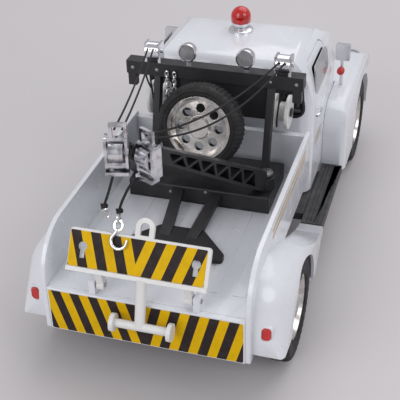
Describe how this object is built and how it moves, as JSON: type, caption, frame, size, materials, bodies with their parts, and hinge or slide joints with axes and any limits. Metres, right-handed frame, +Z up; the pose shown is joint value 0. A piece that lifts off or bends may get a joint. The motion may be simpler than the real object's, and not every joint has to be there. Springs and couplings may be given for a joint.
{
  "type": "toy tow truck",
  "caption": "White toy tow truck with twin swinging booms, winch drums, opening doors and hood, hazard-striped tail and a folding tow bar",
  "frame": {"origin": "On the ground under the middle of the bounding box", "axes": "+X the right side of the truck, +Y the front, +Z up"},
  "size_m": [0.1066, 0.246, 0.1094],
  "materials": {
    "body_white": "gloss white paint",
    "warm_white": "semi-gloss warm white plastic",
    "black_plastic": "satin black plastic",
    "board_rubber": "matt ribbed tread",
    "interior_black": "matt interior plastic",
    "engine_grey": "grey moulded plastic",
    "chrome": "bright chrome plate",
    "pin_steel": "plain steel",
    "red_lens": "clear red plastic",
    "dark_glass": "smoked clear plastic",
    "lamp_glass": "clear lens on bright reflector",
    "black_cord": "braided black string",
    "tyre_rubber": "matt black rubber"
  },
  "bodies": {
    "truck": {"chassis": "black_plastic", "base_screws": "pin_steel", "bed_floor": "body_white", "bed_side_left": "body_white", "bed_side_right": "body_white", "bed_front_wall": "body_white", "tail_board": "body_white", "tail_lamps": "red_lens", "rear_fender_left": "body_white", "rear_fender_right": "body_white", "running_board_left": "board_rubber", "running_board_right": "board_rubber", "cab_shell": "body_white", "cab_glass": "dark_glass", "nose": "body_white", "grille": "chrome", "headlamps": "lamp_glass", "front_bumper": "chrome", "front_fender_left": "body_white", "front_fender_right": "body_white", "mirrors": "chrome", "bench_seat": "interior_black", "dashboard": "interior_black", "steering_wheel": "interior_black", "engine": "engine_grey", "beacon_base": "chrome", "beacon_dome": "red_lens", "mast_post_left": "black_plastic", "mast_post_right": "black_plastic", "mast_beam": "black_plastic", "spotlights": "chrome", "masthead_pulleys": "chrome", "winch_brackets": "black_plastic", "hoist_cables": "black_cord", "winch_platform": "black_plastic", "floor_brace": "black_plastic", "boom_pins": "pin_steel", "boom_cable_left": "black_cord", "boom_cable_right": "black_cord", "tow_pin": "pin_steel", "spare_tyre": "tyre_rubber", "spare_rim": "chrome"},
    "rear_axle": {"rear_wheelset": "chrome", "rear_tyres": "tyre_rubber"},
    "front_axle": {"front_wheelset": "chrome", "front_tyres": "tyre_rubber"},
    "door_left": {"door_left": "body_white"},
    "door_right": {"door_right": "body_white"},
    "hood": {"hood": "body_white"},
    "winch_left": {"winch_drum_left": "warm_white"},
    "winch_right": {"winch_drum_right": "warm_white"},
    "boom_left": {"boom_left": "black_plastic", "boom_head_left": "chrome", "left_cord": "black_cord"},
    "boom_right": {"boom_right": "black_plastic", "boom_head_right": "chrome"},
    "hook": {"hook_cord": "black_cord", "tow_hook": "chrome"},
    "tow_bar": {"tow_bar": "warm_white"}
  },
  "joints": [
    {"name": "rear_axle_spin", "type": "hinge", "parent": "truck", "child": "rear_axle", "pos_m": [0, -0.0775, 0.0224], "axis": [1, 0, 0], "continuous": true},
    {"name": "front_axle_spin", "type": "hinge", "parent": "truck", "child": "front_axle", "pos_m": [0, 0.0825, 0.0224], "axis": [1, 0, 0], "continuous": true},
    {"name": "door_left_swing", "type": "hinge", "parent": "truck", "child": "door_left", "pos_m": [-0.04, 0.0453, 0.055], "axis": [0, 0, -1], "range_deg": [0, 60]},
    {"name": "door_right_swing", "type": "hinge", "parent": "truck", "child": "door_right", "pos_m": [0.04, 0.0453, 0.055], "axis": [0, 0, 1], "range_deg": [0, 60]},
    {"name": "hood_lift", "type": "hinge", "parent": "truck", "child": "hood", "pos_m": [0, 0.0598, 0.0694], "axis": [1, 0, 0], "range_deg": [0, 45]},
    {"name": "winch_left_spin", "type": "hinge", "parent": "truck", "child": "winch_left", "pos_m": [-0.02805, -0.009, 0.072], "axis": [1, 0, 0], "continuous": true},
    {"name": "winch_right_spin", "type": "hinge", "parent": "truck", "child": "winch_right", "pos_m": [0.02805, -0.009, 0.072], "axis": [1, 0, 0], "continuous": true},
    {"name": "boom_left_swing", "type": "hinge", "parent": "truck", "child": "boom_left", "pos_m": [-0.0278, -0.0366, 0.053], "axis": [0, 0, -1], "range_deg": [0, 34], "deforming": ["boom_cable_left"]},
    {"name": "boom_right_swing", "type": "hinge", "parent": "truck", "child": "boom_right", "pos_m": [0.0278, -0.0366, 0.053], "axis": [0, 0, 1], "range_deg": [0, 46], "deforming": ["boom_cable_right"]},
    {"name": "hook_swing", "type": "hinge", "parent": "boom_right", "child": "hook", "pos_m": [-0.0064, -0.0964, 0.0851], "axis": [-1, 0, 0], "range_deg": [0, 30]},
    {"name": "tow_bar_tilt", "type": "hinge", "parent": "truck", "child": "tow_bar", "pos_m": [0, -0.1115, 0.046], "axis": [-1, 0, 0], "range_deg": [0, 45]}
  ]
}
